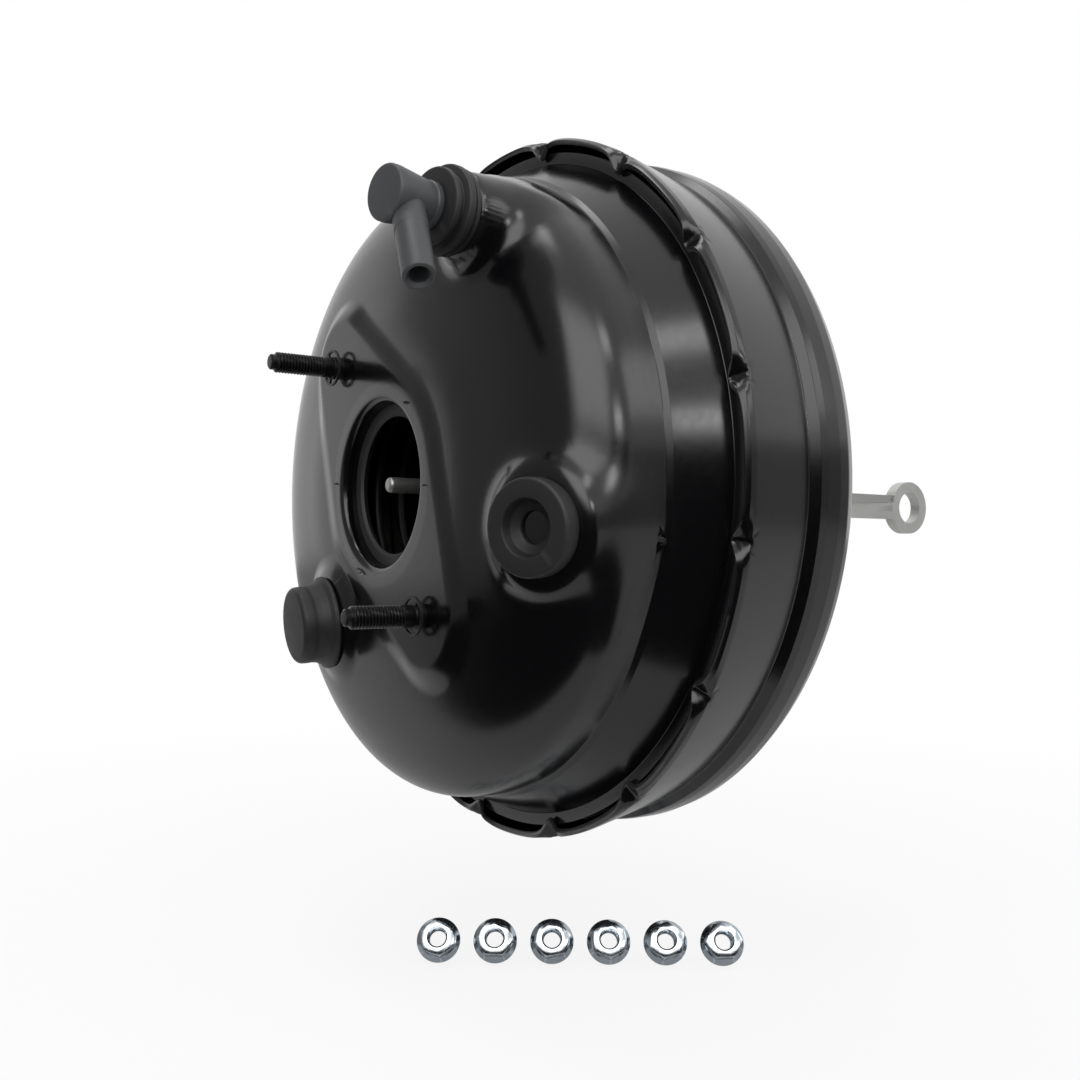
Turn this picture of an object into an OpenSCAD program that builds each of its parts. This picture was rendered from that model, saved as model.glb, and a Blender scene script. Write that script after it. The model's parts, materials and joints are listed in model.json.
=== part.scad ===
/* [Housing] */
// distance from the front mounting pad to the rear mounting face
booster_depth = 122; // [120:1:126]
// thickness of the pressed sheet of both shells
sheet_t = 1.8; // [1.6:0.1:2]
// inner radius of the turned-in lip that takes the cylinder snout
bore_r = 30.8; // [29:0.2:31.6]
// how far the turned-in lip reaches behind the front pad
lip_depth = 9; // [8:0.5:10]
// radius of the turned-in lip's rounded edge
lip_round = 3.2; // [3:0.1:3.4]
// outer radius of the crimped lip at the front of the rear shell
crimp_r = 137; // [136.8:0.1:138]
// how far the band behind the step line lies inside the crimped lip
band_inset = 16; // [15.6:0.1:16.4]
// height of the step from the dome's straight side to the band
step_rise = 2.8; // [2.4:0.1:3]
// how far the drum's wall tapers in from the crimped lip to its waist
taper_drop = 6.1; // [5.8:0.1:6.4]
// how far the bead next to the rear rim stands out of the waist
bead_rise = 3.1; // [2.9:0.1:3.7]

/* [Front studs] */
// distance between the two front studs
stud_spacing = 117.3; // [116.6:0.1:118]
// angle of the stud line from the vertical
stud_line_angle = 36; // [34:1:38]
// nominal radius of every stud thread
stud_r = 4; // [3.9:0.05:4]
// radius of a stud's smooth shoulder
shoulder_r = 4.4; // [4.3:0.05:4.5]
// how far the front studs stand out of the pad
front_stud_out = 29.6; // [28:0.2:31]
// radius of the pad's rounded ends about the studs
pad_end_r = 18; // [17:0.5:19]
// radius of the pad about the bore
pad_mid_r = 38; // [37:0.5:39]

/* [Rear studs] */
// distance between rear studs across the booster
rear_span_x = 80; // [78:1:84]
// distance between rear studs up the booster
rear_span_z = 80; // [78:1:84]
// how far the rear studs stand out of the mounting face
rear_stud_out = 27; // [24:1:30]

/* [Crimp] */
// number of pressed dents round the crimped lip
dent_count = 16; // [16:1:16]
// radius of the round tool that presses each dent
dent_tool_r = 6; // [5.8:0.1:6.2]
// turn of the first dent from the horizontal
dent_phase = 13.7; // [11:0.1:16]

/* [Piston] */
// outer radius of the valve body's running tube
tube_r = 25; // [24.8:0.1:25.2]
// outer radius of the valve body's rear tail
tail_r = 22; // [21.8:0.1:22.2]
// running clearance of every sliding fit
slip = 0.05; // [0.04:0.01:0.08]
// gap left between neighbouring pieces
gap = 0.3; // [0.3:0.02:0.34]
// thickness of the two diaphragm support plates
plate_t = 1.2; // [1:0.1:1.3]
// thickness of the diaphragm rubber
rubber_t = 2; // [1.8:0.1:2.1]

/* [Rods] */
// radius of the output rod
output_rod_r = 3; // [2.8:0.1:3.2]
// distance of the rod eye behind the rear mounting face
eye_reach = 180.7; // [172:0.5:188]
// radius of the hole in the rod eye
eye_hole_r = 8; // [7.6:0.1:8.2]
// outer radius of the rod eye
eye_outer_r = 13.25; // [13:0.05:14]
// width of the flat bar beside the eye
bar_t = 5.6; // [5:0.1:6.4]

/* [Loose nuts] */
// distance between the loose nuts in their row
nut_pitch = 22.8; // [22:0.1:24]
// radius of a nut's flange
nut_flange_r = 8.75; // [8.5:0.05:9]

/* [Hidden] */
$fn = 64;

over = 1;
paint = [0.05, 0.05, 0.055];
dark_steel = [0.09, 0.09, 0.1];
steel = [0.62, 0.63, 0.65];
zinc = [0.78, 0.8, 0.84];
rubber = [0.06, 0.06, 0.06];
resin = [0.2, 0.13, 0.09];
plastic = [0.12, 0.12, 0.13];
foam = [0.25, 0.25, 0.24];

band_r = crimp_r - band_inset;
dome_r = band_r - step_rise;
waist_r = crimp_r - taper_drop;
bead_r = waist_r + bead_rise;
front_y = -booster_depth;
inner_front_y = front_y + sheet_t;
step_y = front_y + 41.7;
step_w = 2.4;
flange_y = front_y + 60;
flange_round = 3;
flange_play = 3.2;
flange_r = crimp_r - sheet_t - flange_play;
lip_edge_y = front_y + 48;
dent_y = front_y + 53.5;
dent_sink = 2;
taper_y = front_y + 67;
waist_y = front_y + 90.7;
bead_y = front_y + 93.6;
line_y = front_y + 102.4;
rim_y = front_y + 112.6;
rim_drop = 0.7;
rim_r = waist_r - rim_drop;
rear_flat_y = -4.4;
rear_pad_r = 66;
rear_pad_slope = 5;
neck_r = 30;
neck_round = 3;
neck_end_y = 32;

function unit(v) = v / norm(v);
function turn(v) = [-v[1], v[0]];
function arc(c, r, a0, a1, n) =
  [for (i = [0:n]) c + r * [cos(a0 + (a1 - a0) * i / n), sin(a0 + (a1 - a0) * i / n)]];
function lead(path, i) =
  let(n = len(path) - 1,
      a = unit(path[max(i, 1)] - path[max(i, 1) - 1]),
      b = unit(path[min(i, n - 1) + 1] - path[min(i, n - 1)]),
      m = unit(a + b))
  turn(m) / (m * a);
function shifted(path, t) = [for (i = [0:len(path) - 1]) path[i] + t * lead(path, i)];
function back(path) = [for (i = [len(path) - 1:-1:0]) path[i]];
function sheet(path, t) = concat(path, back(shifted(path, t)));

module lathe(points) rotate([-90, 0, 0]) rotate_extrude() polygon(points);
module ring(r0, r1, y0, y1) lathe([[r0, y0], [r1, y0], [r1, y1], [r0, y1]]);
module disc(r1, y0, y1) translate([0, y0, 0]) rotate([-90, 0, 0]) cylinder(r = r1, h = y1 - y0);
module boss_frame(at, tilt, toward)
  translate(at) rotate([90, 0, 0]) rotate([0, 0, toward]) rotate([0, tilt, 0]) children();

// one wound wire, its end turns closed down flat
module coil(coil_r, wire_r, length, turns, per_turn, sides) {
  steps = turns * per_turn;
  span = length - 2 * wire_r;
  flat = 0.08;
  function rise(u) = u < flat ? 0.35 * u * span
    : u > 1 - flat ? span - 0.35 * (1 - u) * span
    : 0.35 * flat * span + (u - flat) / (1 - 2 * flat) * (1 - 0.7 * flat) * span;
  pts = [for (i = [0:steps]) let(a = 360 * i / per_turn, z = wire_r + rise(i / steps))
    for (k = [0:sides - 1]) let(q = 360 * k / sides, r = coil_r + wire_r * cos(q))
      [r * cos(a), r * sin(a), z + wire_r * sin(q)]];
  walls = [for (i = [0:steps - 1]) for (k = [0:sides - 1])
    let(a = i * sides + k, b = i * sides + (k + 1) % sides, c = a + sides, d = b + sides)
      each [[a, b, d], [a, d, c]]];
  first = [for (k = [1:sides - 2]) [0, k + 1, k]];
  base = steps * sides;
  last = [for (k = [1:sides - 2]) [base, base + k, base + k + 1]];
  polyhedron(points = pts, faces = concat(walls, first, last));
}

// positions of the two front studs in the pad's plane
module at_front_studs()
  for (side = [-1, 1])
    rotate([0, side * 90 - 90, 0])
      rotate([0, -stud_line_angle, 0]) translate([0, 0, stud_spacing / 2]) children();

module at_rear_studs()
  for (sx = [-1, 1]) for (sz = [-1, 1])
    translate([sx * rear_span_x / 2, 0, sz * rear_span_z / 2]) children();

// profile of the front shell's painted face, from the bore to the flange
lip_path = concat([[bore_r, front_y + lip_depth]],
  arc([bore_r + lip_round, front_y + lip_round], lip_round, 180, 270, 4), [[bore_r + lip_round + 2, front_y]]);
pad_rise = 1.2;
pad_tuck = 0.4;
// the crown is flat past the return spring's seat, then falls to the dome's straight side
spring_seat_r = 44;
crown_flat_w = 12;
crown_flat_r = spring_seat_r + crown_flat_w;
crown_h = 32;
crown_shares = [[0.25723, 0.08125], [0.45016, 0.125], [0.59486, 0.175], [0.7074, 0.24375], [0.79743, 0.325],
  [0.87138, 0.425], [0.92926, 0.54375], [0.97106, 0.68125], [0.99357, 0.83125], [1, 1]];
function crown_at(share) = crown_flat_r + share * (dome_r - crown_flat_r);
crown = concat([[0, front_y + pad_rise], [crown_flat_r, front_y + pad_rise]],
  [for (p = crown_shares) [crown_at(p[0]), front_y + p[1] * crown_h]]);
skirt = concat([[dome_r, step_y], [band_r, step_y + step_w]],
  arc([band_r + flange_round, flange_y - flange_round - sheet_t], flange_round, 180, 90, 4));
front_path = concat(crown, skirt);

// the three bosses: centre of the seat, tilt and the way it leans
function on_crown(share, clock, y) = [crown_at(share) * cos(clock), y, crown_at(share) * sin(clock)];
valve_seat_share = 0.80305;
valve_clock = 56.16;
valve_stand = 3;
valve_at = on_crown(valve_seat_share, valve_clock, front_y - valve_stand);
valve_tilt = 10;
valve_toward = 12;
valve_boss_r = 14.2;
valve_foot_r = 18.6;
valve_boss_h = 38;
valve_hole_r = 10;
port_seat_share = 0.7172;
port_clock = -9.61;
port_sink = 5.4;
port_at = on_crown(port_seat_share, port_clock, front_y + port_sink);
port_tilt = 19;
port_toward = -9;
port_boss_r = 19;
port_foot_r = 23;
port_boss_h = 20;
port_hole_r = 11;
plug_seat_share = 0.21961;
plug_clock = -129.17;
plug_sink = 0.4;
plug_at = on_crown(plug_seat_share, plug_clock, front_y + plug_sink);
plug_tilt = 8;
plug_toward = 220;
plug_boss_r = 19;
plug_foot_r = 22;
plug_boss_h = 6;
plug_hole_r = 9;

module boss(r, foot, h, t)
  translate([0, 0, -h]) cylinder(r1 = foot - t, r2 = r - t, h = h - t);

module pad_body(t, deep) {
  translate([0, front_y + t, 0]) rotate([-90, 0, 0])
    cylinder(r1 = pad_mid_r - t, r2 = pad_mid_r + deep - t, h = deep);
  at_front_studs() translate([0, front_y + t, 0]) rotate([-90, 0, 0])
    cylinder(r1 = pad_end_r - t, r2 = pad_end_r + deep - t, h = deep);
  half = stud_spacing / 2;
  lean = asin((pad_mid_r - pad_end_r) / half);
  wide = pad_mid_r - t - pad_tuck;
  slim = pad_end_r - t - pad_tuck;
  rotate([0, -stud_line_angle, 0]) translate([0, front_y + t, 0]) rotate([-90, 0, 0])
    linear_extrude(deep) polygon([
      [wide * cos(lean), wide * sin(lean)], [slim * cos(lean), half + slim * sin(lean)],
      [-slim * cos(lean), half + slim * sin(lean)], [-wide * cos(lean), wide * sin(lean)],
      [-wide * cos(lean), -wide * sin(lean)], [-slim * cos(lean), -half - slim * sin(lean)],
      [slim * cos(lean), -half - slim * sin(lean)], [wide * cos(lean), -wide * sin(lean)]]);
}

pad_deep = 5;
module front_shell() {
  shell_inside = shifted(front_path, sheet_t);
  color(paint) difference() {
    union() {
      difference() {
        union() {
          lathe(concat(front_path, [[flange_r, flange_y - sheet_t], [flange_r, flange_y], [0, flange_y]]));
          pad_body(0, pad_deep);
          boss_frame(valve_at, valve_tilt, valve_toward) boss(valve_boss_r, valve_foot_r, valve_boss_h, 0);
          boss_frame(port_at, port_tilt, port_toward) boss(port_boss_r, port_foot_r, port_boss_h, 0);
          boss_frame(plug_at, plug_tilt, plug_toward) boss(plug_boss_r, plug_foot_r, plug_boss_h, 0);
        }
        lathe(concat(shell_inside, [[band_r + flange_round, flange_y + over], [0, flange_y + over]]));
        pad_body(sheet_t, pad_deep);
        boss_frame(valve_at, valve_tilt, valve_toward)
          boss(valve_boss_r, valve_foot_r, valve_boss_h, sheet_t);
        boss_frame(port_at, port_tilt, port_toward)
          boss(port_boss_r, port_foot_r, port_boss_h + over, sheet_t);
        boss_frame(plug_at, plug_tilt, plug_toward)
          boss(plug_boss_r, plug_foot_r, plug_boss_h + over, sheet_t);
        disc(bore_r + lip_round, front_y - over, front_y + lip_depth);
      }
      lathe(sheet(lip_path, sheet_t));
    }
    boss_frame(valve_at, valve_tilt, valve_toward)
      translate([0, 0, -sheet_t - over]) cylinder(r = valve_hole_r, h = sheet_t + 2 * over);
    boss_frame(port_at, port_tilt, port_toward)
      translate([0, 0, -sheet_t - over]) cylinder(r = port_hole_r, h = sheet_t + 2 * over);
    boss_frame(plug_at, plug_tilt, plug_toward)
      translate([0, 0, -sheet_t - over]) cylinder(r = plug_hole_r, h = sheet_t + 2 * over);
    at_front_studs() disc(shoulder_r + 0.1, front_y - over, front_y + sheet_t + over);
  }
}
front_shell();

// the rear shell: crimped lip, tapered drum, bead, rounded rim, mounting face and neck
rear_path = concat([[crimp_r, lip_edge_y], [crimp_r, dent_y + dent_tool_r + 1], [crimp_r - 0.6, taper_y],
  [waist_r, waist_y], [bead_r - 0.4, bead_y], [bead_r, bead_y + 3], [bead_r, line_y],
  [bead_r - 0.9, line_y + 5], [rim_r, rim_y], [rim_r - 4.6, rim_y + 3.2], [rim_r - 11, rear_flat_y - 0.3],
  [rim_r - 18, rear_flat_y], [rear_pad_r + rear_pad_slope, rear_flat_y], [rear_pad_r, 0]],
  arc([neck_r + neck_round, neck_round], neck_round, 270, 180, 4), [[neck_r, neck_end_y]]);
module at_dents()
  for (k = [0:dent_count - 1])
    rotate([0, -dent_phase - 360 * k / dent_count, 0])
      translate([crimp_r + dent_sink, dent_y, 0]) children();
module rear_shell() {
  bump_r = dent_tool_r + sheet_t;
  color(paint) difference() {
    union() {
      lathe(sheet(rear_path, sheet_t));
      intersection() {
        at_dents() sphere(r = bump_r);
        ring(crimp_r - bump_r, crimp_r - sheet_t / 2, dent_y - bump_r, dent_y + bump_r);
      }
    }
    at_dents() sphere(r = dent_tool_r);
    at_rear_studs() disc(shoulder_r + 0.1, -sheet_t - over, over);
  }
}
rear_shell();

// pieces clamped in the crimp, from the front flange to the drum's taper
bead_w = 4;
bead_edge = 1;
bead_reach = 8;
bead_in_r = flange_r - bead_reach;
bead_out_r = flange_r - bead_edge;
divider_t = 1.2;
second_bead_y = flange_y + gap;
divider_rim_y = second_bead_y + bead_w + gap;
first_bead_y = divider_rim_y + divider_t + gap;
divider_y = divider_rim_y - 2.6;
dish_drop = 16;
divider_dish_r = flange_r - dish_drop;
seal_room = 6.5;
divider_collar_r = tube_r + seal_room;
divider_collar_h = 11;
divider_collar_y = divider_y + divider_collar_h;
divider_bend = 1.5;
module housing_divider() {
  color(steel) lathe(sheet(concat([[divider_collar_r, divider_collar_y]],
    arc([divider_collar_r + divider_bend, divider_y + divider_bend], divider_bend, 180, 270, 3),
    [[divider_dish_r, divider_y], [divider_dish_r + 5, divider_rim_y], [flange_r, divider_rim_y]]), divider_t));
}
housing_divider();

seal_h = 10;
seal_lip = 1.6;
module divider_seal() {
  outer = divider_collar_r - gap;
  inner = tube_r + slip;
  foot = divider_collar_y - seal_h;
  color(rubber) lathe([[inner, foot], [outer, foot], [outer, divider_collar_y - gap],
    [inner + seal_lip, divider_collar_y - gap], [inner + seal_lip, foot + seal_h / 2],
    [inner, foot + seal_h / 2 - seal_lip]]);
}
divider_seal();

front_seal_r = 26;
front_seal_y = front_y + 6;
front_seal_w = 3.6;
module front_seal() {
  outer = bore_r - slip;
  color(rubber) lathe([[front_seal_r, front_seal_y + 1], [front_seal_r + 1, front_seal_y],
    [outer, front_seal_y], [outer, front_seal_y + front_seal_w],
    [front_seal_r + 2, front_seal_y + front_seal_w]]);
}
front_seal();

// stiffening plate inside the front pad, with the two studs through it
stud_plate_t = 2.5;
stud_plate_y = inner_front_y + gap;
module plate_outline(mid, tip) {
  half = stud_spacing / 2;
  lean = asin((mid - tip) / half);
  circle(r = mid);
  for (side = [-1, 1]) translate([0, side * half]) circle(r = tip);
  polygon([[mid * cos(lean), mid * sin(lean)], [tip * cos(lean), half + tip * sin(lean)],
    [-tip * cos(lean), half + tip * sin(lean)], [-mid * cos(lean), mid * sin(lean)],
    [-mid * cos(lean), -mid * sin(lean)], [-tip * cos(lean), -half - tip * sin(lean)],
    [tip * cos(lean), -half - tip * sin(lean)], [mid * cos(lean), -mid * sin(lean)]]);
}
module stud_plate() {
  fall = sheet_t + gap + pad_tuck;
  color(dark_steel) difference() {
    union() {
      rotate([0, -stud_line_angle, 0]) translate([0, stud_plate_y, 0]) rotate([-90, 0, 0])
        linear_extrude(stud_plate_t) plate_outline(pad_mid_r - fall, pad_end_r - fall);
      disc(spring_seat_r, stud_plate_y + pad_rise, stud_plate_y + stud_plate_t);
    }
    disc(bore_r + sheet_t + gap, stud_plate_y - over, stud_plate_y + stud_plate_t + over);
    at_front_studs() disc(shoulder_r + 0.1, stud_plate_y - over, stud_plate_y + stud_plate_t + over);
  }
}
stud_plate();

// one stud: round head, smooth shoulder, thread and a thinner dog tip
head_r = 8.5;
head_h = 4;
tip_r = 3;
tip_h = 2;
stud_neck = 0.4;
stud_sink = 0.05;
module stud(head_y, shoulder_y, end_y, way) {
  lathe([[0, head_y - way * head_h], [head_r - 0.8, head_y - way * head_h], [head_r, head_y - way * (head_h - 0.8)],
    [head_r, head_y], [shoulder_r, head_y], [shoulder_r, shoulder_y], [stud_r, shoulder_y + way * stud_neck],
    [stud_r, end_y - way * (tip_h + 0.8)], [tip_r, end_y - way * tip_h], [tip_r, end_y - way * 0.5],
    [tip_r - 0.5, end_y], [0, end_y]]);
}
clip_out = 3;
clip_t = 0.9;
thread_out = clip_out + clip_t + 0.1;
module cylinder_studs() {
  head_y = stud_plate_y + stud_plate_t + gap;
  thread_y = front_y - thread_out;
  color(dark_steel) at_front_studs()
    stud(head_y, thread_y + stud_neck + stud_sink, front_y - front_stud_out, -1);
}
cylinder_studs();

clip_r = 7.1;
clip_in_r = 6.2;
tab_w = 2;
module stud_retaining_rings() {
  color(dark_steel) at_front_studs() translate([0, front_y - clip_out - clip_t, 0]) rotate([-90, 0, 0])
    difference() {
      union() {
        difference() {
          cylinder(r = clip_r, h = clip_t);
          translate([0, 0, -over]) cylinder(r = clip_in_r, h = clip_t + 2 * over);
        }
        for (k = [0:2]) rotate([0, 0, 120 * k + 30])
          translate([0, -tab_w / 2, 0]) cube([clip_in_r + 0.3, tab_w, clip_t]);
      }
      translate([0, 0, -over]) cylinder(r = shoulder_r + slip, h = clip_t + 2 * over);
    }
}
stud_retaining_rings();

module firewall_studs() {
  color(dark_steel) at_rear_studs() stud(-sheet_t - gap, -stud_neck - stud_sink, rear_stud_out, 1);
}
firewall_studs();

// guide bearing and its lip seal inside the neck
bearing_y = 3;
bearing_h = 14;
module rear_bearing() {
  outer = neck_r - sheet_t - gap;
  inner = tail_r + slip;
  color(rubber) lathe([[inner, bearing_y], [outer, bearing_y], [outer, bearing_y + bearing_h],
    [outer - 1.6, bearing_y + bearing_h], [outer - 1.6, bearing_y + bearing_h - 4],
    [inner + 1.4, bearing_y + bearing_h - 4], [inner + 0.4, bearing_y + bearing_h - 1], [inner, bearing_y + bearing_h - 1]]);
}
rear_bearing();

boot_t = 1.6;
rod_r = 5;
boot_path = [[neck_r + boot_t + slip, neck_end_y - 14], [neck_r + boot_t + slip, neck_end_y + 1],
  [neck_r + 4, 38], [neck_r - 2.5, 43], [neck_r + 3, 48], [neck_r - 3.5, 53], [neck_r + 1, 58],
  [neck_r - 6, 63], [neck_r - 2, 68], [neck_r - 10, 73], [neck_r - 7, 78], [neck_r - 16, 82],
  [neck_r - 13, 86], [rod_r + boot_t + 1, 90], [rod_r + boot_t + slip, 92], [rod_r + boot_t + slip, 98]];
module dust_boot() {
  color(rubber) lathe(sheet(boot_path, boot_t));
}
dust_boot();

// check valve and its grommet, drawn along the boss axis with the seat at zero
module turned(points) rotate_extrude() polygon(points);
stem_r = 7.1;
grommet_r = 15.1;
module valve_grommet() {
  neck = valve_hole_r - 0.1;
  color(rubber) boss_frame(valve_at, valve_tilt, valve_toward) turned([
    [stem_r + slip, -6], [neck + 2, -6], [neck + 2.2, -sheet_t - gap], [neck, -sheet_t - gap], [neck, gap],
    [grommet_r - 0.4, gap], [grommet_r - 0.4, 2], [grommet_r - 1.4, 2.4], [grommet_r, 3], [grommet_r, 5.4],
    [grommet_r - 2.8, 6], [grommet_r - 2.8, 7.2], [grommet_r - 1.9, 7.6], [grommet_r - 1.9, 9.6],
    [grommet_r - 6.4, 10], [stem_r + slip, 10]]);
}
valve_grommet();

valve_end_z = 29;
valve_collar_z = 10.4;
valve_end_r = 9.3;
hose_r = 5.4;
hose_len = 39;
hose_grip = 22;
hose_stop = 0.3;
hose_z = 20;
hose_lean = 75;
hose_clock = -67;
hose_bore_r = 3.2;
chamber_r = 5.6;
throat_r = 3.6;
chamber_z = 4;
stem_end_z = -14;
module check_valve_body() {
  color(plastic) boss_frame(valve_at, valve_tilt, valve_toward) difference() {
    union() {
      turned([[0, stem_end_z], [stem_r - 0.6, stem_end_z], [stem_r, stem_end_z + 1], [stem_r, valve_collar_z],
        [stem_r + 0.9, valve_collar_z], [stem_r + 0.9, valve_collar_z + 2], [stem_r + 0.5, valve_collar_z + 2.4],
        [valve_end_r, valve_end_z - 3], [valve_end_r, valve_end_z - 0.6], [valve_end_r - 0.6, valve_end_z],
        [0, valve_end_z]]);
      translate([0, 0, hose_z]) rotate([0, 0, hose_clock]) rotate([0, hose_lean, 0]) {
        cylinder(r = hose_r, h = hose_len);
        cylinder(r = hose_r + hose_stop, h = hose_len - hose_grip);
      }
    }
    translate([0, 0, stem_end_z - over]) cylinder(r = chamber_r, h = chamber_z - stem_end_z + over);
    translate([0, 0, chamber_z - over]) cylinder(r = throat_r, h = hose_z + 4 - chamber_z + over);
    translate([0, 0, hose_z]) rotate([0, 0, hose_clock]) rotate([0, hose_lean, 0]) {
      cylinder(r = hose_bore_r, h = hose_len + over);
      translate([0, 0, hose_len - 1]) cylinder(r1 = hose_bore_r, r2 = hose_bore_r + 1, h = 1 + over);
    }
  }
}
check_valve_body();

seat_h = 3;
seat_hole_r = 3;
module check_valve_seat() {
  color(plastic) boss_frame(valve_at, valve_tilt, valve_toward) turned([[seat_hole_r, stem_end_z],
    [chamber_r - 0.1, stem_end_z], [chamber_r - 0.1, stem_end_z + seat_h],
    [seat_hole_r + 0.8, stem_end_z + seat_h], [seat_hole_r, stem_end_z + seat_h - 0.6]]);
}
check_valve_seat();

disc_h = 1.4;
disc_z = stem_end_z + seat_h + gap;
module check_valve_disc() {
  color(rubber) boss_frame(valve_at, valve_tilt, valve_toward) turned([[0, disc_z],
    [chamber_r - 0.5, disc_z], [chamber_r - 0.5, disc_z + disc_h], [2.6, disc_z + disc_h],
    [2, disc_z + 3.4], [0, disc_z + 3.4]]);
}
check_valve_disc();

valve_wire_r = 0.4;
module check_valve_spring() {
  color(steel) boss_frame(valve_at, valve_tilt, valve_toward) translate([0, 0, disc_z + disc_h + gap])
    coil(chamber_r - 1.1, valve_wire_r, chamber_z - disc_z - disc_h - 2 * gap, 5, 12, 5);
}
check_valve_spring();

port_face_z = 7;
port_flange_r = 15.6;
port_bore_r = 5.2;
module port_grommet() {
  neck = port_hole_r - 0.1;
  color(rubber) boss_frame(port_at, port_tilt, port_toward) turned([
    [port_bore_r, -6], [neck + 1.4, -6], [neck + 2, -sheet_t - gap], [neck, -sheet_t - gap], [neck, gap],
    [port_flange_r, gap], [port_flange_r, port_face_z - 0.7], [port_flange_r - 0.7, port_face_z],
    [9.3, port_face_z], [8.7, port_face_z - 0.6], [8.5, port_face_z - 2.6], [port_bore_r, port_face_z - 4.4]]);
}
port_grommet();

module port_plug() {
  neck = plug_hole_r - 0.1;
  color(rubber) boss_frame(plug_at, plug_tilt, plug_toward) turned([
    [0, 9], [5, 9], [6, 8], [6, -5.5], [neck + 1.6, -5.5], [neck + 2.2, -sheet_t - gap], [neck, -sheet_t - gap],
    [neck, gap], [18, gap], [18.6, 1], [18.4, 2.2], [17, 3.6], [15.7, 6], [15.3, 8.5], [15.6, 11],
    [16, 12.6], [15.6, 13.8], [14.6, 14.4], [0, 14.4]]);
}
port_plug();

// power piston: the moulded valve body, its plates, diaphragms and what rides in it
spring_flange_y = -70;
spring_flange_w = 3.5;
spring_flange_r = 45;
nose_y = -76;
nose_r = 22;
cavity_r = 14.1;
cavity_y = -64;
stem_bore_r = 6;
recess_y = -24;
recess_r = 12;
seat_y = -8.3;
tail_bore_r = 17;
tail_end_y = 46;
rear_flange_r = 36;
rear_flange_y = -11.4;
rear_flange_w = 4.4;
passage_r = 1.8;
passage_at = 16.6;
key_y = -40;
key_t = 3;
key_w = 12;
key_top = 23.6;
key_low = -7;
module valve_body() {
  flange_back = spring_flange_y + spring_flange_w;
  color(resin) difference() {
    lathe([[stem_bore_r + slip, cavity_y], [cavity_r, cavity_y], [cavity_r, nose_y], [nose_r, nose_y],
      [nose_r, spring_flange_y], [spring_flange_r - 1, spring_flange_y], [spring_flange_r, spring_flange_y + 1],
      [spring_flange_r, flange_back], [tube_r, flange_back], [tube_r, rear_flange_y],
      [rear_flange_r, rear_flange_y], [rear_flange_r, rear_flange_y + 2.4],
      [rear_flange_r - 2, rear_flange_y + rear_flange_w], [tail_r, rear_flange_y + rear_flange_w],
      [tail_r, tail_end_y - 1], [tail_r - 1, tail_end_y], [tail_bore_r, tail_end_y], [tail_bore_r, seat_y - 2.4],
      [recess_r + 2.2, seat_y - 2.4], [recess_r + 1.4, seat_y], [recess_r, seat_y - 0.4], [recess_r, recess_y],
      [stem_bore_r + slip, recess_y]]);
    for (k = [0:3]) rotate([0, 45 + 90 * k, 0]) translate([passage_at, 0, 0])
      disc(passage_r, nose_y - over, seat_y + 2);
    for (k = [0:1]) rotate([0, 180 * k, 0]) translate([recess_r - over, -21, 0]) rotate([0, 90, 0])
      cylinder(r = 1.6, h = tube_r - recess_r + 2 * over);
    translate([-key_w / 2 - gap, key_y - gap, key_low - gap])
      cube([key_w + 2 * gap, key_t + 2 * gap, tube_r - key_low + 2 * over]);
  }
}
valve_body();

plate_bore_r = tube_r + gap;
second_plate_y = spring_flange_y + spring_flange_w + gap;
second_plate_play = 19.2;
second_plate_r = dome_r - second_plate_play;
second_rim = 9;
first_rubber_y = rear_flange_y - gap - rubber_t;
first_plate_y = first_rubber_y - gap - plate_t;
first_plate_play = 19.9;
first_plate_r = waist_r - first_plate_play;
first_rim = 8;
plate_bend = 2;
module support_plate(rim_r, y, rim) {
  path = concat([[rim_r, y + plate_t - rim]], arc([rim_r - plate_bend, y + plate_t - plate_bend], plate_bend, 0, 90, 3),
    [[spring_seat_r + 24, y + plate_t], [spring_seat_r + 20, y + plate_t + gap / 2],
      [plate_bore_r, y + plate_t + gap / 2]]);
  lathe(sheet(path, plate_t));
}
module primary_plate() {
  color(steel) support_plate(first_plate_r, first_plate_y, first_rim);
}
primary_plate();

module secondary_plate() {
  color(steel) support_plate(second_plate_r, second_plate_y, second_rim);
}
secondary_plate();

wall_play = 0.9;
first_wall_r = waist_r - sheet_t - wall_play;
module primary_diaphragm() {
  back_y = first_rubber_y + rubber_t;
  path = concat([[bead_in_r + 1.6, first_bead_y + 1], [first_wall_r - 1.6, first_bead_y + bead_w + 4],
    [first_wall_r - 0.4, waist_y - 4], [first_wall_r, waist_y + 6]],
    arc([first_wall_r - 9, back_y - 9], 9, 0, 90, 4), [[plate_bore_r + 14, back_y], [plate_bore_r, back_y]]);
  color(rubber) union() {
    lathe(sheet(path, rubber_t));
    ring(bead_in_r - 1.4, bead_out_r, first_bead_y, first_bead_y + bead_w);
  }
}
primary_diaphragm();

second_rubber_y = second_plate_y + plate_t + gap;
module secondary_diaphragm() {
  back_y = second_rubber_y + rubber_t;
  path = [[bead_in_r + 1, second_bead_y + 2.6], [divider_dish_r + 3, second_bead_y + 0.6],
    [divider_dish_r - 1, back_y], [plate_bore_r, back_y]];
  color(rubber) union() {
    lathe(sheet(path, rubber_t));
    ring(bead_in_r - 1, bead_out_r, second_bead_y, second_bead_y + bead_w);
  }
}
secondary_diaphragm();

retainer_w = 2.7;
module plate_retainer() {
  y = first_plate_y - gap - retainer_w;
  color(steel) lathe([[tube_r + slip, y], [tube_r + 4, y], [tube_r + 6, y + 1.2], [tube_r + 6, y + retainer_w],
    [tube_r + slip, y + retainer_w]]);
}
plate_retainer();

pad_h = 5.7;
module reaction_disc() {
  color(rubber) disc(cavity_r - gap, cavity_y - gap - pad_h, cavity_y - gap);
}
reaction_disc();

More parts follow.
